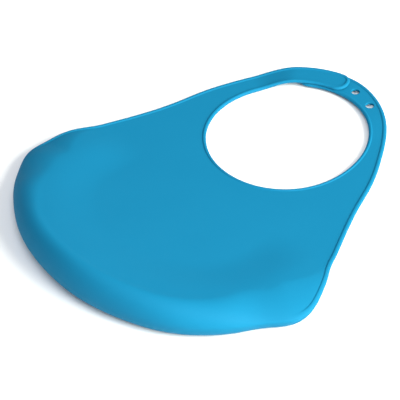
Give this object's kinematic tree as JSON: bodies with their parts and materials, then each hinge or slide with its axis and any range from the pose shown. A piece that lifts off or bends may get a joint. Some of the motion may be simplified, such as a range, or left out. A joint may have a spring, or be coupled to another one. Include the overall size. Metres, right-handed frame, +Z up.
{
  "type": "silicone bib",
  "caption": "Soft moulded silicone baby bib with a catch pocket, a beaded edge and a neck strap that fastens with pegs in holes.",
  "frame": {"origin": "middle of the footprint, on the surface the bib lies on, pocket underneath and baby side up", "axes": "+X across the bib, towards the hole strap's side; +Y from the pocket towards the neck; +Z up, out of the baby side"},
  "size_m": [0.2324, 0.2841, 0.0286],
  "materials": {
    "silicone": "satin matte moulded silicone, one blue colour"
  },
  "bodies": {
    "pocket": {"pocket_side": "silicone", "pocket_front": "silicone", "pocket_rim": "silicone"},
    "bib": {"bib_panel": "silicone", "neck_bead": "silicone", "flank_bead_right": "silicone", "flank_bead_left": "silicone", "pocket_brow": "silicone"},
    "peg_strap": {"peg_strap": "silicone", "peg_strap_bead": "silicone", "closure_peg_outer": "silicone", "closure_peg_inner": "silicone"},
    "hole_strap": {"hole_strap": "silicone", "hole_strap_bead": "silicone"}
  },
  "joints": [
    {"name": "panel_lift", "type": "hinge", "parent": "pocket", "child": "bib", "pos_m": [0, -0.142, 0.0142], "axis": [1, 0, 0], "range_deg": [0, 20], "stiffness_Nm_per_rad": 0.15},
    {"name": "peg_strap_lift", "type": "hinge", "parent": "bib", "child": "peg_strap", "pos_m": [-0.0527, 0.0944, 0.0036], "axis": [0.866, -0.5, 0], "range_deg": [0, 60], "stiffness_Nm_per_rad": 0.02},
    {"name": "hole_strap_lift", "type": "hinge", "parent": "bib", "child": "hole_strap", "pos_m": [0.054, 0.0952, 0.0037], "axis": [0.866, 0.5, 0], "range_deg": [0, 15], "stiffness_Nm_per_rad": 0.02}
  ],
  "couplings": [
    {"joint": "hole_strap_lift", "follows": "peg_strap_lift", "ratio": 0.25}
  ]
}
